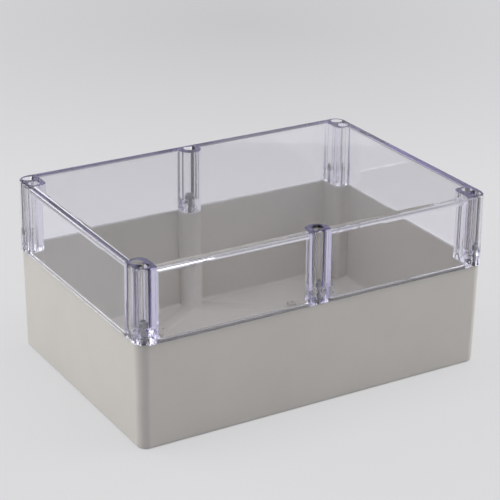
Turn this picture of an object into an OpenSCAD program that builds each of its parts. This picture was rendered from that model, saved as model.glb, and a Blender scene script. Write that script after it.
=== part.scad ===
// Deep screw-down enclosure: a drafted tub, a clear lift-off lid with six
// full-height screw columns, a seal between them, and the lid's fasteners.
// The origin is the centre of the underside, X runs along the length, Z is up.

/* [Enclosure] */
// Length along X, measured at the seam
box_l = 263; // [200:1:320]
// Width along Y, measured at the seam
box_w = 182; // [130:1:240]
// Height of the base, from the underside to the seam
base_h = 74; // [50:1:110]
// Height of the lid above the seam
lid_h = 51; // [35:1:80]
// Radius of the upright outer corners, at the seam
corner_r = 8; // [5:0.5:12]
// How far the lid stands out past the base, all round the seam
lid_over = 0.8; // [0.2:0.1:1.5]

/* [Walls] */
// Thickness of the side walls, from the base's outer face
wall = 3.2; // [3:0.1:4.5]
// Thickness of the base's floor
floor_t = 3.5; // [2.5:0.1:5]
// Thickness of the lid's top
lid_top_t = 3; // [2.5:0.1:4.5]
// Draft of the base's side walls, in degrees
base_draft = 0.7; // [0.2:0.1:1.5]
// Draft of the lid's side walls, in degrees
lid_draft = 0.5; // [0.2:0.1:1]
// Radius along the base's bottom edge
base_edge_r = 2.5; // [1:0.25:3]
// Radius along the lid's top edge
lid_edge_r = 1.5; // [0.5:0.25:2.5]
// Inside radius where the walls meet the floor
floor_cove_r = 2; // [0.5:0.25:4]
// Inside radius where the lid's walls meet its top
lid_cove_r = 2.5; // [0.5:0.25:4]
// Inside radius where posts and corner blocks meet the walls
root_r = 1; // [0.5:0.25:3]

/* [Screw posts and corner blocks] */
// Screw axis to the short outer face, at the corners
screw_inset_x = 6.3; // [6:0.1:7]
// Screw axis to the long outer face
screw_inset_y = 5.8; // [5.5:0.1:6.5]
// Radius of the rounded post in the middle of each long side
post_r = 8.2; // [7.2:0.1:10]
// Corner block, size along X from the short outer face
block_l = 14.5; // [12.4:0.1:16]
// Corner block, size along Y from the long outer face
block_w = 20.5; // [19.5:0.5:26]
// Radius of the corner block's inner edge
block_r = 5; // [3:0.25:6]

/* [Seal] */
// Height of the base's tongue above the seam
tongue_h = 1.2; // [0.8:0.1:4]
// Thickness of the tongue
tongue_t = 1.9; // [1.5:0.1:2.1]
// Gap between the tongue and the lid's skirt
tongue_clear = 0.3; // [0.2:0.05:0.4]
// Height of the seal as it is squeezed between tongue and lid
seal_h = 0.8; // [0.6:0.1:2]
// How far the seal stands back from each face of the tongue
seal_inset = 0.1; // [0.05:0.05:0.3]

/* [Lid screws] */
// Radius of the screw's thread
screw_r = 2; // [1.5:0.1:2.2]
// Length of the screw under its head and washer
screw_l = 20; // [16:1:24]
// Radius of the screw's head
head_r = 3.5; // [2.8:0.1:3.5]
// Height of the screw's head
head_h = 2.6; // [2:0.1:3.5]
// Width across one slot of the cross recess
recess_w = 1; // [0.8:0.1:1.4]
// Length across the cross recess
recess_l = 4.2; // [3:0.1:4.8]
// Depth of the cross recess
recess_depth = 1.5; // [0.8:0.1:1.8]
// Outer radius of the washer under the head
washer_r = 3.55; // [3:0.05:3.6]
// Thickness of the washer
washer_t = 0.8; // [0.5:0.1:1.5]
// Radial gap between washer and screw
washer_clear = 0.1; // [0.05:0.05:0.3]
// Radius of the well above the screw
well_r = 4.2; // [3.9:0.1:4.5]
// Height of the screw's seat above the seam
seat_h = 11; // [7:0.5:12]
// Radius of the lid's bore below the seat
lid_bore_r = 2.4; // [2.4:0.1:2.7]

/* [Threaded inserts] */
// Outer radius of the insert
insert_r = 2.9; // [2.7:0.1:3.3]
// Length of the insert
insert_l = 8; // [6:0.5:10]
// How far the insert's top lies below the seam
insert_sink = 0.2; // [0.1:0.1:1]
// Radial gap between the screw and the insert's bore
insert_clear = 0.05; // [0.02:0.01:0.1]
// Depth of the two relief grooves round the insert
insert_groove = 0.35; // [0.2:0.05:0.5]
// Depth of the post's bore below the seam
post_bore_depth = 58; // [20:1:60]
// Radius of the post's bore below the insert
post_bore_r = 2.3; // [2.3:0.1:2.5]

/* [Wall fixing] */
// Fixing hole to the short outer face
fix_inset_x = 6.5; // [6:0.1:7.5]
// Fixing hole to the long outer face
fix_inset_y = 14.8; // [14.4:0.1:15]
// Radius of the hole through the floor
fix_hole_r = 2.3; // [1.8:0.1:3]
// Radius of the well above the hole, for the fixing screw's head
fix_well_r = 3.7; // [3.2:0.1:3.8]
// Material left under the well
fix_web = 4; // [3:0.5:8]

/* [Floor bosses] */
// Spacing of the mounting-plate bosses along X
plate_l = 216; // [160:1:220]
// Spacing of the mounting-plate bosses along Y
plate_w = 136; // [90:1:140]
// Spacing of the circuit-board bosses along X
board_l = 120; // [60:1:140]
// Spacing of the circuit-board bosses along Y
board_w = 80; // [40:1:85]
// Height of the bosses above the floor
boss_h = 6; // [4:0.5:12]
// Radius of the bosses
boss_r = 3.6; // [3.2:0.1:5]
// Radius of the bosses' pilot holes
pilot_r = 1.5; // [1:0.1:2]
// Thickness of the ribs that brace the bosses
rib_t = 1.2; // [0.8:0.1:2]
// Reach of the ribs beyond the boss
rib_reach = 3.5; // [2:0.5:5]

/* [Hidden] */
$fn = 64;

// Screw axes, anticlockwise from the corner at -X -Y; 2 and 5 are the middle posts
corner_x = box_l / 2 - screw_inset_x;
row_y = box_w / 2 - screw_inset_y;
screw_xy = [
    [-corner_x, -row_y], [0, -row_y], [corner_x, -row_y],
    [corner_x, row_y], [0, row_y], [-corner_x, row_y],
];

overrun = 1;                            // cuts run this far past the faces they open
box_h = base_h + lid_h;
tongue_top = base_h + tongue_h;
rebate_top = tongue_top + seal_h;       // ceiling of the lid's rebate, where the seal is bonded
rebate_w = tongue_t + tongue_clear;      // width of the lid's rebate, from its inner face
lid_roof = box_h - lid_top_t;
seat_z = base_h + seat_h;
screw_z = seat_z + washer_t;            // underside of the screw's head
insert_top = base_h - insert_sink;
insert_bore_r = screw_r + insert_clear;
edge_steps = 6;                         // straight stretches in each rounded edge's profile

color_base = [0.74, 0.74, 0.70];
color_lid = [0.80, 0.82, 0.92, 0.35];
color_seal = [0.88, 0.88, 0.86];
color_brass = [0.80, 0.63, 0.30];
color_steel = [0.72, 0.73, 0.75];

// ---------- outlines ----------

// Places its children at the four outer corners, with +X and +Y pointing inwards
module at_corners()
    for (mx = [0, 1], my = [0, 1])
        mirror([mx, 0, 0])
            mirror([0, my, 0])
                translate([-box_l / 2, -box_w / 2])
                    children();

// Places its children in the middle of the two long faces, with +Y pointing inwards
module at_long_sides()
    for (my = [0, 1])
        mirror([0, my, 0])
            translate([0, -box_w / 2])
                children();

// A quarter of a disc, in the quadrant +X +Y
module quarter_disc(r)
    intersection() {
        circle(r);
        square(r);
    }

// Fills an inside corner at the origin with a concave radius that reaches r + grow
module root_fillet(r, grow)
    translate([-grow, -grow])
        difference() {
            square(r + grow);
            translate([r + grow, r + grow])
                circle(r + grow);
        }

// Outline of a corner block, made smaller by grow all round
module corner_block(grow = 0) {
    square([block_l - grow, block_w - block_r]);
    square([block_l - block_r, block_w - grow]);
    translate([block_l - block_r, block_w - block_r])
        quarter_disc(block_r - grow);
    translate([block_l, wall])
        root_fillet(root_r, grow);
    translate([wall, block_w])
        root_fillet(root_r, grow);
}

// Outline of a middle post, made smaller by grow all round
module middle_post(grow = 0) {
    translate([-(post_r - grow), 0])
        square([2 * (post_r - grow), screw_inset_y]);
    translate([0, screw_inset_y])
        intersection() {
            circle(post_r - grow);
            translate([-post_r, 0])
                square([2 * post_r, post_r]);
        }
    for (mx = [0, 1])
        mirror([mx, 0, 0])
            translate([post_r, wall])
                root_fillet(root_r, grow);
}

// Outline of the space inside the walls, blocks and posts, made larger by grow all round
module interior(grow = 0)
    difference() {
        square([box_l - 2 * (wall - grow), box_w - 2 * (wall - grow)], center = true);
        at_corners() corner_block(grow);
        at_long_sides() middle_post(grow);
    }

// ---------- drafted bodies ----------

// Points along an arc about c, from angle a0 to angle a1
function arc(c, r, a0, a1) = [
    for (i = [0:edge_steps])
        c + r * [cos(a0 + (a1 - a0) * i / edge_steps), sin(a0 + (a1 - a0) * i / edge_steps)]
];

// Rounds a point to a micron, so that sections which meet share it exactly
function to_micron(p) = [for (value = p) round(value * 1000) / 1000];

// Half section of a drafted body that reaches out to reach at height h. The wall leans
// in towards z = 0, where its edge has radius r
function drafted_half(reach, h, draft, r) =
    let (edge_x = (r - h) * tan(draft) - r / cos(draft))
    concat(
        [[0, 0]],
        [for (p = arc([edge_x, r], r, -90, -draft)) [reach, 0] + to_micron(p)],
        [[reach, h], [0, h]]
    );

// Draws a half section and its mirror image
module both_sides() {
    children();
    mirror([1, 0]) children();
}

// Extrudes a half section and its mirror image along X by length w, about the middle
module ridge(w)
    rotate([90, 0, 90])
        linear_extrude(w, center = true)
            both_sides() children();

// A drafted box with square upright corners: full size l by w at height h
module drafted_box(l, w, h, draft, r)
    intersection() {
        rotate(90)
            ridge(w + 2 * overrun) polygon(drafted_half(l / 2, h, draft, r));
        ridge(l + 2 * overrun) polygon(drafted_half(w / 2, h, draft, r));
    }

// The same with upright corners rounded to radius cr at height h
module drafted_tub(l, w, h, draft, r, cr) {
    rotate(90)
        ridge(w - 2 * cr) polygon(drafted_half(l / 2, h, draft, r));
    ridge(l - 2 * cr) polygon(drafted_half(w / 2, h, draft, r));
    for (mx = [0, 1], my = [0, 1])
        mirror([mx, 0, 0])
            mirror([0, my, 0])
                translate([l / 2 - cr, w / 2 - cr])
                    rotate_extrude(angle = 90)
                        polygon(drafted_half(cr, h, draft, r));
}

// Turns its children over, so that their z = 0 becomes the top of the closed box
module hung_from_top()
    translate([0, 0, box_h])
        mirror([0, 0, 1])
            children();

// ---------- base ----------

module base_hollow()
    intersection() {
        translate([0, 0, floor_t])
            linear_extrude(box_h)
                interior();
        translate([0, 0, floor_t])
            drafted_box(box_l - 2 * wall + 2 * tongue_h * tan(base_draft),
                        box_w - 2 * wall + 2 * tongue_h * tan(base_draft),
                        tongue_top - floor_t, base_draft, floor_cove_r);
    }

module floor_boss()
    translate([0, 0, floor_t - overrun]) {
        cylinder(h = boss_h + overrun, r = boss_r);
        for (turn = [0, 90])
            rotate(turn)
                translate([-(boss_r + rib_reach), -rib_t / 2, 0])
                    cube([2 * (boss_r + rib_reach), rib_t, boss_h / 2 + overrun]);
    }

module at_bosses()
    for (span = [[plate_l, plate_w], [board_l, board_w]], sx = [-1, 1], sy = [-1, 1])
        translate([sx * span[0] / 2, sy * span[1] / 2])
            children();

module insert_bore()
    translate([0, 0, base_h]) {
        translate([0, 0, -insert_sink - insert_l])
            cylinder(h = insert_l + insert_sink + overrun, r = insert_r);
        translate([0, 0, -post_bore_depth])
            cylinder(h = post_bore_depth, r = post_bore_r);
    }

module fixing_hole() {
    translate([0, 0, -overrun])
        cylinder(h = fix_web + 2 * overrun, r = fix_hole_r);
    translate([0, 0, fix_web])
        cylinder(h = base_h, r = fix_well_r);
}

module base()
    color(color_base)
        difference() {
            union() {
                difference() {
                    union() {
                        drafted_tub(box_l, box_w, base_h, base_draft, base_edge_r, corner_r);
                        translate([0, 0, base_h - overrun])
                            linear_extrude(tongue_h + overrun)
                                interior(tongue_t);
                    }
                    base_hollow();
                }
                at_bosses() floor_boss();
            }
            for (at = screw_xy)
                translate(at) insert_bore();
            at_corners()
                translate([fix_inset_x, fix_inset_y])
                    fixing_hole();
            at_bosses()
                translate([0, 0, floor_t])
                    cylinder(h = boss_h + overrun, r = pilot_r);
        }

// ---------- lid ----------

module lid_hollow()
    intersection() {
        translate([0, 0, base_h - overrun])
            linear_extrude(box_h)
                interior();
        hung_from_top()
            translate([0, 0, lid_top_t])
                drafted_box(box_l - 2 * wall, box_w - 2 * wall,
                            lid_h - lid_top_t, lid_draft, lid_cove_r);
    }

module screw_well() {
    translate([0, 0, seat_z])
        cylinder(h = box_h, r = well_r);
    translate([0, 0, base_h - overrun])
        cylinder(h = seat_h + 2 * overrun, r = lid_bore_r);
}

module lid()
    color(color_lid)
        difference() {
            hung_from_top()
                drafted_tub(box_l + 2 * lid_over, box_w + 2 * lid_over, lid_h,
                            lid_draft, lid_edge_r, corner_r + lid_over);
            lid_hollow();
            translate([0, 0, base_h - overrun])
                linear_extrude(rebate_top - base_h + overrun)
                    interior(rebate_w);
            for (at = screw_xy)
                translate(at) screw_well();
            at_corners()
                translate([fix_inset_x, fix_inset_y, base_h - overrun])
                    cylinder(h = lid_roof - base_h + overrun, r = fix_well_r);
        }

module seal()
    color(color_seal)
        translate([0, 0, tongue_top])
            linear_extrude(seal_h)
                difference() {
                    interior(tongue_t - seal_inset);
                    interior(seal_inset);
                }

// ---------- fasteners ----------

// Brass insert with two relief grooves round its knurled barrel
module insert(at)
    color(color_brass)
        translate([at[0], at[1], insert_top - insert_l])
            difference() {
                cylinder(h = insert_l, r = insert_r);
                translate([0, 0, -overrun])
                    cylinder(h = insert_l + 2 * overrun, r = insert_bore_r);
                for (band = [1, 2])
                    translate([0, 0, band * insert_l / 3 - insert_groove])
                        difference() {
                            cylinder(h = 2 * insert_groove, r = insert_r + overrun);
                            translate([0, 0, -overrun])
                                cylinder(h = 2 * insert_groove + 2 * overrun,
                                         r = insert_r - insert_groove);
                        }
            }

module washer(at)
    color(color_steel)
        translate([at[0], at[1], seat_z])
            difference() {
                cylinder(h = washer_t, r = washer_r);
                translate([0, 0, -overrun])
                    cylinder(h = washer_t + 2 * overrun, r = screw_r + washer_clear);
            }

// Screw with a domed-edge cheese head, a cross recess and a bevelled tip
module screw(at) {
    head_round = head_h / 4;
    tip_bevel = screw_r / 4;
    color(color_steel)
        translate([at[0], at[1], screw_z])
            difference() {
                rotate_extrude()
                    polygon(concat(
                        [[0, -screw_l], [screw_r - tip_bevel, -screw_l],
                         [screw_r, -screw_l + tip_bevel], [screw_r, 0], [head_r, 0]],
                        arc([head_r - head_round, head_h - head_round], head_round, 0, 90),
                        [[0, head_h]]));
                for (turn = [0, 90])
                    rotate(turn)
                        translate([-recess_l / 2, -recess_w / 2, head_h - recess_depth])
                            cube([recess_l, recess_w, recess_depth + overrun]);
            }
}

base();
seal();
for (i = [1:6]) {
    insert(screw_xy[i - 1]);
    washer(screw_xy[i - 1]);
    screw(screw_xy[i - 1]);
}
lid();
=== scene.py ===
import math

import bmesh
import bpy
from mathutils import Matrix, Vector


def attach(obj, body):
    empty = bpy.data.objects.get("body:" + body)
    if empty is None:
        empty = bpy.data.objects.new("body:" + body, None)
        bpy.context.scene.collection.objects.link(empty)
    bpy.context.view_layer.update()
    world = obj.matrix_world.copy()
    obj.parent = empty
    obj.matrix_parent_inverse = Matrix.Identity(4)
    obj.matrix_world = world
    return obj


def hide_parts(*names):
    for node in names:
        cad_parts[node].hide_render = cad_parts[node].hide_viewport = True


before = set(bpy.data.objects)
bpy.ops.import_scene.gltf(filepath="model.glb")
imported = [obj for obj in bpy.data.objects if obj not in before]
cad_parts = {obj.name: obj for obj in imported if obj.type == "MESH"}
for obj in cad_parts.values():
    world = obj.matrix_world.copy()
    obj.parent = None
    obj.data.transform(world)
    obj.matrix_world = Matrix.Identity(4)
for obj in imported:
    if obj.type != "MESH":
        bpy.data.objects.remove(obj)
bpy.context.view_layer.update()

MM = 0.001
SCREW_NUMBERS = range(1, 7)


# ---------- shader maths ----------

class Value:
    """A node's output that takes part in sums, each of which adds a Math node."""

    def __init__(self, finish, socket):
        self.finish, self.socket = finish, socket

    def worked(self, operation, *terms):
        return self.finish.node("ShaderNodeMath", {"operation": operation}, dict(enumerate(terms)))

    def __add__(self, other):
        return self.worked("ADD", self, other)

    __radd__ = __add__

    def __rsub__(self, other):
        return self.worked("SUBTRACT", other, self)

    def __mul__(self, other):
        return self.worked("MULTIPLY", self, other)

    __rmul__ = __mul__

    def __abs__(self):
        return self.worked("ABSOLUTE", self)


class Finish:
    """A material while it is being made: nodes go in one by one, and each gives back its output."""

    def __init__(self, name):
        self.material = bpy.data.materials.new(name)
        self.material.use_nodes = True
        self.nodes = self.material.node_tree.nodes
        self.links = self.material.node_tree.links
        self.nodes.clear()

    def node(self, kind, settings=None, sockets=None, output=0):
        made = self.nodes.new(kind)
        for key, value in (settings or {}).items():
            if key == "stops":
                self.set_stops(made.color_ramp, value)
            else:
                setattr(made, key, value)
        for key, value in (sockets or {}).items():
            if isinstance(value, Value):
                self.links.new(value.socket, made.inputs[key])
            else:
                made.inputs[key].default_value = value
        return Value(self, made.outputs[output])

    def set_stops(self, ramp, stops):
        for index, (place, level) in enumerate(stops):
            stop = ramp.elements[index] if index < 2 else ramp.elements.new(place)
            stop.position = place
            stop.color = (level, level, level, 1)

    def place(self):
        return self.node("ShaderNodeTexCoord", output="Object")

    def axis(self, letter):
        return self.node("ShaderNodeSeparateXYZ", {}, {"Vector": self.place()}, "XYZ".index(letter))

    def over(self, value, limit):
        return self.node("ShaderNodeMath", {"operation": "GREATER_THAN"}, {0: value, 1: limit})

    def between(self, value, low, high):
        return self.over(value, low) * (1 - self.over(value, high))

    def noise(self, scale, detail, stretch=(1, 1, 1)):
        at = self.place()
        if stretch != (1, 1, 1):
            at = self.node("ShaderNodeMapping", {}, {"Vector": at, "Scale": stretch})
        return self.node(
            "ShaderNodeTexNoise", {},
            {"Vector": at, "Scale": scale, "Detail": detail, "Roughness": 0.55})

    def ramp(self, value, *stops):
        return self.node("ShaderNodeValToRGB", {"stops": stops}, {"Fac": value})

    def blend(self, mask, one, other):
        """Colour one where the mask is 0, the other where it is 1."""
        mix = self.nodes.new("ShaderNodeMix")
        mix.data_type = "RGBA"
        factor, first, second = (socket for socket in mix.inputs if socket.enabled)
        self.links.new(mask.socket, factor)
        first.default_value = (*one, 1)
        second.default_value = (*other, 1)
        return Value(self, next(socket for socket in mix.outputs if socket.enabled))

    def bump(self, height, strength, distance, under=None):
        sockets = {"Height": height, "Strength": strength, "Distance": distance}
        if under is not None:
            sockets["Normal"] = under
        return self.node("ShaderNodeBump", {}, sockets)

    def done(self, surface, volume=None):
        out = self.nodes.new("ShaderNodeOutputMaterial")
        self.links.new(surface.socket, out.inputs["Surface"])
        if volume is not None:
            self.links.new(volume.socket, out.inputs["Volume"])
        return self.material


# ---------- finishes ----------

def moulded_grey():
    """Satin light-grey moulding: fine spark-eroded grain, faint flow clouding."""
    f = Finish("moulded_grey")
    cloud = f.noise(22, 4)
    grain = f.noise(2600, 2)
    colour = f.blend(f.ramp(cloud, (0.3, 0), (0.75, 1)), (0.615, 0.590, 0.538), (0.650, 0.624, 0.570))
    normal = f.bump(grain, 0.22, 0.00006, f.bump(cloud, 0.1, 0.0004))
    return f.done(f.node("ShaderNodeBsdfPrincipled", {}, {
        "Base Color": colour,
        "Roughness": 0.40 + 0.10 * cloud,
        "IOR": 1.5,
        "Normal": normal,
    }))


def column_feet(f):
    """Mask over the feet of the lid's six columns: low, near a long side, and at the middle or an end."""
    foot_low, foot_top = 74.2 * MM, 85.3 * MM
    near_long_side = 74.5 * MM
    middle_column, end_column = 10.5 * MM, 114.5 * MM
    across, along, height = (f.axis(letter) for letter in "XYZ")
    low = f.between(height, foot_low, foot_top)
    beside = f.over(abs(along), near_long_side)
    return low * beside * (1 - f.between(abs(across), middle_column, end_column))


def clear_polycarbonate():
    """Clear moulding with pitted column feet and a cool tint that deepens with the length of plastic
    the light passes."""
    f = Finish("clear_polycarbonate")
    haze = f.noise(35, 3)
    wavy = f.bump(haze, 0.12, 0.0002)
    pitted = f.bump(column_feet(f) * f.noise(330, 1), 0.6, 0.0016, wavy)
    surface = f.node("ShaderNodeBsdfPrincipled", {}, {
        "Base Color": (1, 1, 1, 1),
        "Roughness": 0.012 + 0.02 * haze,
        "IOR": 1.585,
        "Transmission Weight": 1.0,
        "Normal": pitted,
    })
    tint = f.node("ShaderNodeVolumeAbsorption", {}, {"Color": (0.40, 0.35, 0.74, 1), "Density": 19.0})
    return f.done(surface, tint)


def seal_foam():
    """Pale foamed bead with a fine open skin."""
    f = Finish("seal_foam")
    cells = f.node("ShaderNodeTexVoronoi", {}, {"Vector": f.place(), "Scale": 1800})
    cloud = f.noise(160, 3)
    colour = f.blend(cloud, (0.84, 0.84, 0.82), (0.90, 0.90, 0.88))
    return f.done(f.node("ShaderNodeBsdfPrincipled", {}, {
        "Base Color": colour,
        "Roughness": 0.62 + 0.15 * cloud,
        "Normal": f.bump(cells, 0.5, 0.0001),
    }))


def turned_metal(name, dark, light, roughness, ring_scale):
    """Turned metal: fine rings along the turning axis and slight staining."""
    f = Finish(name)
    rings = f.noise(ring_scale, 2, stretch=(0.02, 0.02, 1))
    stain = f.noise(700, 3)
    return f.done(f.node("ShaderNodeBsdfPrincipled", {}, {
        "Base Color": f.blend(stain, dark, light),
        "Metallic": 1.0,
        "Roughness": roughness + 0.12 * stain,
        "Normal": f.bump(rings, 0.25, 0.00003),
    }))


GREY = moulded_grey()
CLEAR = clear_polycarbonate()
FOAM = seal_foam()
BRASS = turned_metal("brass", (0.62, 0.42, 0.16), (0.78, 0.57, 0.26), 0.24, 9000)
STEEL = turned_metal("screw_steel", (0.20, 0.20, 0.21), (0.32, 0.32, 0.34), 0.24, 7000)


def dress(node, material):
    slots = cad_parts[node].material_slots
    if not slots:
        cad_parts[node].data.materials.append(material)
    for slot in slots:
        slot.material = material


dress("lid", CLEAR)
for number in SCREW_NUMBERS:
    dress(f"insert_{number}", BRASS)
    dress(f"washer_{number}", STEEL)


# ---------- pieces ----------

SEAM = 74 * MM
HAIR_GAP = 0.05 * MM      # air between faces that only touch, which the clear lid shows as a bright line
SAME_PLACE = 1e-6         # corners closer than this are one
SHARP_EDGE = math.radians(32)


def piece_from(mesh, name):
    data = bpy.data.meshes.new(name)
    mesh.to_mesh(data)
    mesh.free()
    for face in data.polygons:
        face.use_smooth = True
    made = bpy.data.objects.new(name, data)
    bpy.context.scene.collection.objects.link(made)
    return made


def merged_copy(node):
    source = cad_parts[node]
    mesh = bmesh.new()
    mesh.from_mesh(source.data)
    mesh.transform(source.matrix_world)
    bmesh.ops.remove_doubles(mesh, verts=mesh.verts, dist=SAME_PLACE)
    return mesh


def stand_in(mesh, name, node, body, material):
    """A finished piece in the place of a part, with crisp edges and flat faces kept flat."""
    made = piece_from(mesh, name)
    made.data.set_sharp_from_angle(angle=SHARP_EDGE)
    even = made.modifiers.new("even_faces", "WEIGHTED_NORMAL")
    even.mode = "FACE_AREA_WITH_ANGLE"
    even.weight = 100
    even.keep_sharp = True
    made.data.materials.append(material)
    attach(made, body)
    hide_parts(node)


def lower(mesh, height, by):
    """Lowers the corners at one height; gives them back."""
    level = [vert for vert in mesh.verts if abs(vert.co.z - height) < SAME_PLACE]
    bmesh.ops.translate(mesh, verts=level, vec=(0, 0, -by))
    return level


def tub():
    """Grey base whose rim and post tops stand a hair below the lid."""
    mesh = merged_copy("base")
    lower(mesh, SEAM, HAIR_GAP)
    stand_in(mesh, "tub", "base", "base_body", GREY)


def bead():
    """Endless seal with a rounded crown under the lid's rebate."""
    crown_round, square_edge = 0.25 * MM, math.radians(60)
    mesh = merged_copy("seal")
    crown_height = max(vert.co.z for vert in mesh.verts)
    crown = set(lower(mesh, crown_height, HAIR_GAP))
    ridge = [edge for edge in mesh.edges
             if crown.issuperset(edge.verts) and edge.calc_face_angle(0) > square_edge]
    bmesh.ops.bevel(mesh, geom=ridge, offset=crown_round, affect="EDGES", segments=3, profile=0.5,
                    material=-1)
    stand_in(mesh, "bead", "seal", "lid_body", FOAM)


def draw_ring(mesh, ring, radius, height):
    """Draws a ring of edges on to a new radius and height, with the wall between."""
    drawn = bmesh.ops.extrude_edge_only(mesh, edges=ring)["geom"]
    verts = [item for item in drawn if isinstance(item, bmesh.types.BMVert)]
    scale = radius / verts[0].co.xy.length
    bmesh.ops.scale(mesh, verts=verts, vec=(scale, scale, 1))
    bmesh.ops.translate(mesh, verts=verts, vec=(0, 0, height - verts[0].co.z))
    ends = set(verts)
    return [item for item in drawn if isinstance(item, bmesh.types.BMEdge) and ends.issuperset(item.verts)]


def cross_recess(mesh, top):
    """Flat patch with a tapered cross sunk into it."""
    arm, half_width, depth, taper = 2.1 * MM, 0.5 * MM, 1.5 * MM, 0.55
    bmesh.ops.create_grid(mesh, x_segments=3, y_segments=3, size=arm,
                          matrix=Matrix.Translation((0, 0, top)))
    for vert in mesh.verts:
        for axis in (0, 1):
            if abs(vert.co[axis]) < 0.9 * arm:      # an inner line of the grid
                vert.co[axis] = math.copysign(half_width, vert.co[axis])
    cross = [face for face in mesh.faces if min(abs(c) for c in face.calc_center_median().xy) < half_width]
    sunk = bmesh.ops.extrude_face_region(mesh, geom=cross)["geom"]
    bmesh.ops.delete(mesh, geom=[face for face in cross if face.is_valid], context="FACES")
    floor = [item for item in sunk if isinstance(item, bmesh.types.BMVert)]
    bmesh.ops.scale(mesh, verts=floor, vec=(taper, taper, 1))
    bmesh.ops.translate(mesh, verts=floor, vec=(0, 0, -depth))


def thread(mesh, core, crest, pitch, low, turns):
    """Closed helical ridge that winds up the shank, with its root just inside the core."""
    root, root_half, crest_half, steps = core - 0.04 * MM, 0.46 * pitch, 0.07 * pitch, 24
    section = [mesh.verts.new(point) for point in (
        (root, 0, low - root_half), (crest, 0, low - crest_half),
        (crest, 0, low + crest_half), (root, 0, low + root_half))]
    cap = mesh.faces.new(section)
    bmesh.ops.spin(mesh, geom=[cap], cent=(0, 0, 0), axis=(0, 0, 1), dvec=(0, 0, pitch / steps),
                   angle=math.tau * turns, steps=steps * turns)
    bmesh.ops.holes_fill(mesh, edges=[edge for edge in mesh.edges if edge.is_boundary])


def screw_blank(mesh, top, tip, head_r, crest, core):
    """Closed head and shank under the recess that the mesh already holds."""
    neck = top - 2.6 * MM
    shank = crest - 0.05 * MM
    recess = [edge for edge in mesh.edges if edge.is_boundary]
    patch = bmesh.ops.create_circle(mesh, segments=48, radius=head_r - 0.9 * MM,
                                    matrix=Matrix.Translation((0, 0, top - 0.04 * MM)))
    ring = list({edge for vert in patch["verts"] for edge in vert.link_edges})
    bmesh.ops.bridge_loops(mesh, edges=recess + ring)
    dome = ((head_r - 0.45 * MM, top - 0.20 * MM), (head_r - 0.14 * MM, top - 0.50 * MM),
            (head_r, top - 0.95 * MM))
    underside = ((head_r, neck + 0.12 * MM), (head_r - 0.12 * MM, neck), (crest + 0.25 * MM, neck))
    plain_shank = ((shank, neck - 0.30 * MM), (shank, neck - 6.4 * MM), (core, neck - 6.8 * MM))
    point = ((core, tip + 0.6 * MM), (core - 0.5 * MM, tip), (0.1 * MM, tip))
    for radius, height in dome + underside + plain_shank + point:
        ring = draw_ring(mesh, ring, radius, height)
    bmesh.ops.holes_fill(mesh, edges=[edge for edge in mesh.edges if edge.is_boundary])


def cross_head_screw(number):
    """M4 machine screw with a domed head, a tapered cross and a rolled thread."""
    head_r, crest, core, pitch, turns = 3.5 * MM, 2 * MM, 1.62 * MM, 0.7 * MM, 17
    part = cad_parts[f"screw_{number}"]
    corners = [part.matrix_world @ Vector(corner) for corner in part.bound_box]
    top = max(corner.z for corner in corners)
    tip = min(corner.z for corner in corners)
    axis = sum(corners, Vector()) / len(corners)
    mesh = bmesh.new()
    cross_recess(mesh, top)
    screw_blank(mesh, top, tip, head_r, crest, core)
    thread(mesh, core, crest, pitch, tip + 0.75 * MM, turns)
    bmesh.ops.remove_doubles(mesh, verts=mesh.verts, dist=1e-7)
    bmesh.ops.recalc_face_normals(mesh, faces=mesh.faces)
    bmesh.ops.translate(mesh, verts=mesh.verts, vec=(axis.x, axis.y, 0))
    stand_in(mesh, f"cross_head_screw_{number}", f"screw_{number}", f"screw_body_{number}",
             STEEL)


tub()
bead()
for number in SCREW_NUMBERS:
    cross_head_screw(number)


# ---------- studio ----------

def lathed(name, profile, first, last):
    """A surface turned about the upright axis from one angle to another, in degrees."""
    mesh = bmesh.new()
    points = [mesh.verts.new((x, 0, z)) for x, z in profile]
    edges = [mesh.edges.new(pair) for pair in zip(points, points[1:])]
    bmesh.ops.rotate(mesh, verts=points, cent=(0, 0, 0), matrix=Matrix.Rotation(math.radians(first), 3, "Z"))
    bmesh.ops.spin(mesh, geom=points + edges, cent=(0, 0, 0), axis=(0, 0, 1),
                   angle=math.radians(last - first), steps=96, use_merge=last - first == 360)
    bmesh.ops.remove_doubles(mesh, verts=mesh.verts, dist=1e-5)
    bmesh.ops.recalc_face_normals(mesh, faces=mesh.faces)
    return piece_from(mesh, name)


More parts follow.
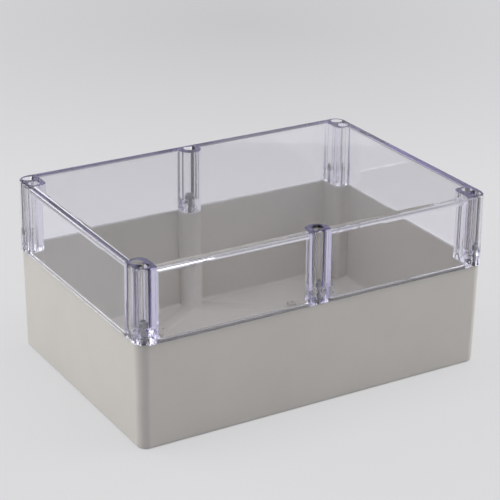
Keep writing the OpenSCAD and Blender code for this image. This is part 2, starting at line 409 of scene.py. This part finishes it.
def studio_sweep():
    """Pale round floor that curves up into a low wall all round; to camera, glossy and transmission rays it
    mostly shows a glow of its own, with painted shade darkening it round a spot behind the object.
    """
    floor_r, cove_r, cove_steps, wall_top = 2.4, 0.5, 8, 0.95
    flat_r = floor_r - cove_r
    flat = [(0, 0), (0.6, 0), (1.4, 0), (flat_r, 0)]
    bends = [math.radians(90 * step / cove_steps) for step in range(cove_steps + 1)]
    cove = [(flat_r + cove_r * math.sin(bend), cove_r - cove_r * math.cos(bend)) for bend in bends]
    f = Finish("sweep_paper")
    mottle = f.noise(3, 2)
    paper = f.node("ShaderNodeBsdfPrincipled", {}, {
        "Base Color": f.blend(mottle, (0.43, 0.43, 0.44), (0.46, 0.46, 0.47)),
        "Roughness": 0.9,
        "Specular IOR Level": 0.2,
    })
    behind = f.node("ShaderNodeMapping", {}, {
        "Vector": f.place(),
        "Location": (-0.76, -1.31, 0),
        "Scale": (1.8, 1.8, 1.8),
    })
    # painted shade: the glow is darker round a spot behind the object and lighter further out
    painted_dim_spot = f.node("ShaderNodeTexGradient", {"gradient_type": "SPHERICAL"}, {"Vector": behind}, output=1)
    glow = f.node("ShaderNodeEmission", {}, {
        "Color": f.blend(painted_dim_spot, (0.765, 0.765, 0.775), (0.585, 0.58, 0.595)),
        "Strength": 1.0,
    })
    seen = sum(f.node("ShaderNodeLightPath", output=ray)
               for ray in ("Is Camera Ray", "Is Glossy Ray", "Is Transmission Ray"))
    glow_share = 0.7      # the rest is paper, which keeps the shadow
    material = f.done(f.node("ShaderNodeMixShader", {}, {0: glow_share * seen, 1: paper, 2: glow}))
    for name, profile in (("studio_floor", flat), ("studio_wall", cove + [(floor_r, wall_top)])):
        piece = lathed(name, profile, 0, 360)
        piece.data.materials.append(material)


def dark_room():
    """Dark curtain round the camera's side, which leaves the clear plastic its dark edges."""
    curtain = lathed("room_curtain", [(2.2, 0), (2.2, 1.4), (1.6, 2.2)], 180, 300)
    f = Finish("curtain_cloth")
    curtain.data.materials.append(f.done(f.node("ShaderNodeBsdfPrincipled", {}, {
        "Base Color": f.blend(f.noise(9, 3), (0.055, 0.05, 0.12), (0.075, 0.07, 0.15)),
        "Roughness": 0.9,
    })))
    curtain.visible_camera = False


def soft_box(name, at, target, width, height, power):
    lamp = bpy.data.lights.new(name, "AREA")
    lamp.shape = "RECTANGLE"
    lamp.size, lamp.size_y = width, height
    lamp.energy = power
    holder = bpy.data.objects.new(name, lamp)
    bpy.context.scene.collection.objects.link(holder)
    holder.location = at
    holder.rotation_euler = (Vector(target) - Vector(at)).to_track_quat("-Z", "Y").to_euler()
    holder.visible_camera = False
    holder.visible_glossy = False    # keeps the lamp's hard outline off the flat lid


studio_sweep()
dark_room()
soft_box("left_behind", (-1.6, 1.0, 1.0), (0, 0, 0.06), 2.9, 1.8, 40)
soft_box("right", (1.75, -0.42, 0.7), (0, 0, 0.06), 2.2, 1.3, 27)
soft_box("overhead", (0, -0.2, 1.65), (0, 0, 0), 1.4, 1.4, 18)


world = bpy.data.worlds.new("studio_air")
bpy.context.scene.world = world
world.use_nodes = True
world.node_tree.nodes["Background"].inputs["Color"].default_value = (0.44, 0.44, 0.45, 1)
world.node_tree.nodes["Background"].inputs["Strength"].default_value = 1.0


# ---------- camera ----------

def set_camera():
    """Long lens above the near left corner."""
    yaw, pitch, roll = math.radians(30.73), math.radians(23.12), math.radians(0.60)
    ahead = Vector((math.sin(yaw) * math.cos(pitch), math.cos(yaw) * math.cos(pitch), -math.sin(pitch)))
    right = Vector((math.cos(yaw), -math.sin(yaw), 0))
    up = right.cross(ahead)
    tilted_right = math.cos(roll) * right + math.sin(roll) * up
    tilted_up = -math.sin(roll) * right + math.cos(roll) * up
    lens = bpy.data.cameras.new("camera")
    lens.sensor_width = 36
    lens.lens = 126.48
    lens.clip_start, lens.clip_end = 0.05, 20
    camera = bpy.data.objects.new("camera", lens)
    bpy.context.scene.collection.objects.link(camera)
    turn = Matrix((tilted_right, tilted_up, -ahead)).transposed()
    camera.matrix_world = Matrix.Translation((-0.5660, -0.9531, 0.5508)) @ turn.to_4x4()
    bpy.context.scene.camera = camera


set_camera()
scene = bpy.context.scene
scene.view_settings.view_transform = "Standard"
scene.cycles.max_bounces = 32
scene.cycles.transmission_bounces = 32
scene.cycles.glossy_bounces = 12
scene.cycles.diffuse_bounces = 5
